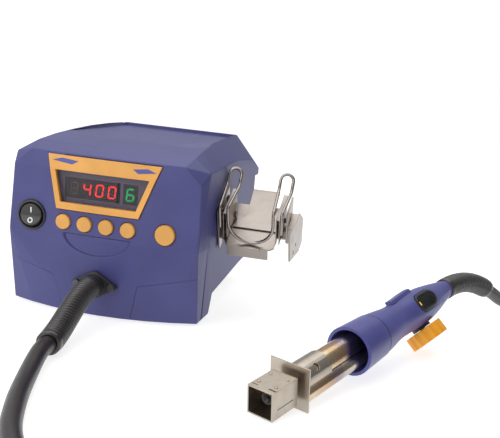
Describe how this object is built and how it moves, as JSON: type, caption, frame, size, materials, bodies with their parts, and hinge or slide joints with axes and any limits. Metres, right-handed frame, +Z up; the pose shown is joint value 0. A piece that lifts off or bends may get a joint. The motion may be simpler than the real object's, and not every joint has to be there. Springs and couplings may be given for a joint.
{
  "type": "hot air station",
  "caption": "Bench hot air station with a blue housing, lit display, handpiece rest, and a handpiece with vacuum pick-up on a free hose.",
  "frame": {"origin": "on the bench, under the middle of the box round the station, its rest and the handpiece, without the hose and its boots", "axes": "+Z up, -Y the way the front panel faces, +X to the right seen from the front"},
  "size_m": [0.5338, 0.4938, 0.145],
  "materials": {
    "housing_blue": "satin, fine moulded texture",
    "handle_blue": "satin",
    "bezel_yellow": "satin",
    "button_cream": "satin",
    "knob_yellow": "satin",
    "black_plastic": "satin",
    "smoked_window": "clear smoked, polished",
    "red_digits": "polished, lit digits",
    "green_digit": "polished, lit digit",
    "circuit_board": "lacquered",
    "black_rubber": "matte",
    "hose_rubber": "satin",
    "stainless": "brushed",
    "pipe_steel": "polished, heat tinted",
    "zinc_steel": "zinc plated",
    "core_iron": "varnished laminations and windings",
    "ceramic_core": "matte",
    "amber_lens": "polished",
    "dark_glass": "polished"
  },
  "bodies": {
    "station_body": {"housing_shell": "housing_blue", "display_bezel": "bezel_yellow", "display_window": "smoked_window", "panel_board": "circuit_board", "red_digit_module": "red_digits", "green_digit_module": "green_digit", "switch_body": "black_plastic", "flange_screw_1": "zinc_steel", "flange_screw_2": "zinc_steel", "hose_flange": "black_plastic", "base_pan": "zinc_steel", "foot_front_left": "black_rubber", "foot_rear_left": "black_rubber", "foot_front_right": "black_rubber", "foot_rear_right": "black_rubber", "rear_panel": "black_plastic", "mains_inlet": "black_plastic", "fuse_holder": "black_plastic", "blower_housing": "black_plastic", "blower_cover": "black_plastic", "blower_motor": "zinc_steel", "mains_transformer": "core_iron", "main_board": "circuit_board", "vacuum_pump": "zinc_steel", "station_boot": "black_rubber", "rest_bracket": "stainless", "stop_plate": "stainless", "outer_plate": "stainless", "left_pivot_screw": "stainless", "right_pivot_screw": "stainless", "handpiece_boot": "black_rubber", "hose": "hose_rubber", "handle_upper_shell": "handle_blue", "handle_lower_shell": "handle_blue", "window_frame": "black_plastic", "window_lens": "dark_glass", "lamp_board": "circuit_board", "amber_lamp": "amber_lens", "front_collar": "handle_blue", "heater_pipe": "pipe_steel", "side_pipe": "pipe_steel", "heater_core": "ceramic_core", "nozzle": "pipe_steel", "knob_seat": "black_plastic"},
    "power_rocker_body": {"power_rocker": "black_plastic"},
    "button_1_body": {"panel_button_1": "button_cream"},
    "button_2_body": {"panel_button_2": "button_cream"},
    "button_3_body": {"panel_button_3": "button_cream"},
    "button_4_body": {"panel_button_4": "button_cream"},
    "button_large_body": {"panel_button_large": "button_cream"},
    "side_button_body": {"side_button": "handle_blue"},
    "cradle_body": {"wire_cradle": "stainless", "left_carrier": "stainless", "right_carrier": "stainless"},
    "knob_body": {"lift_knob": "knob_yellow", "knob_shaft": "zinc_steel"},
    "vacuum_lift_body": {"vacuum_pipe": "pipe_steel", "vacuum_pad": "black_rubber", "lift_rack": "zinc_steel"},
    "impeller_body": {"blower_impeller": "black_plastic"}
  },
  "joints": [
    {"name": "power_rocker_tilt", "type": "hinge", "parent": "station_body", "child": "power_rocker_body", "pos_m": [-0.15796, -0.03829, 0.0763], "axis": [1, 0, 0], "range_deg": [0, 14]},
    {"name": "panel_button_1_press", "type": "slide", "parent": "station_body", "child": "button_1_body", "axis": [0, 1, 0], "range_m": [0, 0.0012], "stiffness_N_per_m": 400},
    {"name": "panel_button_2_press", "type": "slide", "parent": "station_body", "child": "button_2_body", "axis": [0, 1, 0], "range_m": [0, 0.0012], "stiffness_N_per_m": 400},
    {"name": "panel_button_3_press", "type": "slide", "parent": "station_body", "child": "button_3_body", "axis": [0, 1, 0], "range_m": [0, 0.0012], "stiffness_N_per_m": 400},
    {"name": "panel_button_4_press", "type": "slide", "parent": "station_body", "child": "button_4_body", "axis": [0, 1, 0], "range_m": [0, 0.0012], "stiffness_N_per_m": 400},
    {"name": "panel_button_large_press", "type": "slide", "parent": "station_body", "child": "button_large_body", "axis": [0, 1, 0], "range_m": [0, 0.0012], "stiffness_N_per_m": 400},
    {"name": "side_button_press", "type": "slide", "parent": "station_body", "child": "side_button_body", "axis": [0.6984, -0.2694, -0.6631], "range_m": [0, 0.0012], "stiffness_N_per_m": 400},
    {"name": "rest_tilt", "type": "hinge", "parent": "station_body", "child": "cradle_body", "pos_m": [0.01014, 0.03698, 0.08521], "axis": [1, 0, 0], "range_deg": [-30, 0]},
    {"name": "lift_knob_turn", "type": "hinge", "parent": "station_body", "child": "knob_body", "pos_m": [0.16521, -0.00424, 0.01254], "axis": [0.6984, -0.2694, -0.6631], "range_deg": [0, 240]},
    {"name": "vacuum_lift_slide", "type": "slide", "parent": "station_body", "child": "vacuum_lift_body", "axis": [-0.4652, -0.8749, -0.1345], "range_m": [0, 0.012]},
    {"name": "blower_spin", "type": "hinge", "parent": "station_body", "child": "impeller_body", "pos_m": [-0.12956, 0.102, 0.066], "axis": [0, 1, 0], "continuous": true}
  ],
  "couplings": [
    {"joint": "lift_knob_turn", "follows": "vacuum_lift_slide", "rad_per_m": 349.06}
  ]
}
